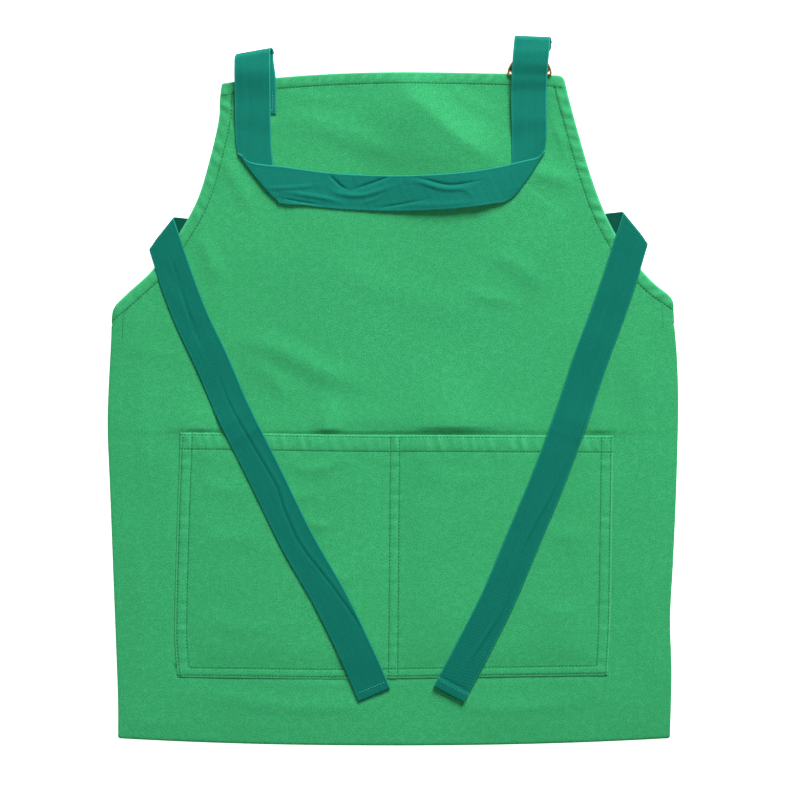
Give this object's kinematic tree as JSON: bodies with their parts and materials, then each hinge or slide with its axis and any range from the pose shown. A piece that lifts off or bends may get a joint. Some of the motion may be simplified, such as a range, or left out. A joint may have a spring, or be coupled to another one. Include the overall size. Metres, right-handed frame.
{
  "type": "bib apron",
  "caption": "Bib apron with a split patch pocket, adjustable neck strap with D-rings and waist ties, folded and lying face up.",
  "frame": {"origin": "centre of the bounding box at the surface the folded apron lies on", "axes": "+X to the right as it is seen from above, +Y from the skirt to the bib, +Z out of the cloth's front"},
  "size_m": [0.4886, 0.6089, 0.0136],
  "materials": {
    "apron_twill": "green cotton twill, matt with a faint diagonal rib",
    "webbing": "teal cotton webbing, matt, herringbone, with bright selvedges",
    "brass": "polished brass plate on round wire",
    "apron_thread": "green sewing thread",
    "webbing_thread": "teal sewing thread"
  },
  "bodies": {
    "apron": {"body_panel": "apron_twill", "left_side_turnback": "apron_twill", "right_side_turnback": "apron_twill", "pocket_panel": "apron_twill", "neck_strap_sewn_end": "webbing", "ring_tab": "webbing", "left_tie_root": "webbing", "right_tie_root": "webbing", "top_hem_stitching": "apron_thread", "left_armhole_stitching": "apron_thread", "right_armhole_stitching": "apron_thread", "pocket_mouth_stitching": "apron_thread", "pocket_edge_stitching": "apron_thread", "pocket_divider_stitching": "apron_thread", "neck_strap_box_stitching": "webbing_thread", "ring_tab_stitching": "webbing_thread", "left_tie_root_stitching": "webbing_thread", "right_tie_root_stitching": "webbing_thread"},
    "bottom_flap": {"bottom_flap": "apron_twill", "bottom_flap_left_turnback": "apron_twill", "bottom_flap_right_turnback": "apron_twill"},
    "neck_strap": {"neck_strap": "webbing"},
    "back_ring": {"d_ring_back": "brass", "neck_strap_ring_end": "webbing"},
    "front_ring": {"d_ring_front": "brass"},
    "left_tie": {"left_tie": "webbing", "left_tie_end_stitching": "webbing_thread"},
    "right_tie": {"right_tie": "webbing", "right_tie_end_stitching": "webbing_thread"}
  },
  "joints": [
    {"name": "bottom_flap_unfold", "type": "hinge", "parent": "apron", "child": "bottom_flap", "pos_m": [0, -0.30245, 0.00205], "axis": [-1, 0, 0], "range_deg": [0, 180]},
    {"name": "neck_strap_lift", "type": "hinge", "parent": "apron", "child": "neck_strap", "pos_m": [-0.1205, 0.2858, 0.0085], "axis": [-0.9986, -0.053, 0], "range_deg": [0, 170]},
    {"name": "ring_swing", "type": "hinge", "parent": "apron", "child": "back_ring", "pos_m": [0.117, 0.273, 0.00675], "axis": [1, 0, 0], "range_deg": [0, 8]},
    {"name": "front_ring_swing", "type": "hinge", "parent": "apron", "child": "front_ring", "pos_m": [0.117, 0.2706, 0.00675], "axis": [1, 0, 0], "range_deg": [0, 8]},
    {"name": "left_tie_swing", "type": "hinge", "parent": "apron", "child": "left_tie", "pos_m": [-0.1985, 0.1325, 0.004], "axis": [-0.6225, -0.7826, 0], "range_deg": [0, 170]},
    {"name": "right_tie_swing", "type": "hinge", "parent": "apron", "child": "right_tie", "pos_m": [0.2078, 0.1372, 0.004], "axis": [-0.632, 0.7749, 0], "range_deg": [0, 170]}
  ],
  "couplings": [
    {"joint": "front_ring_swing", "follows": "ring_swing", "ratio": 1}
  ]
}
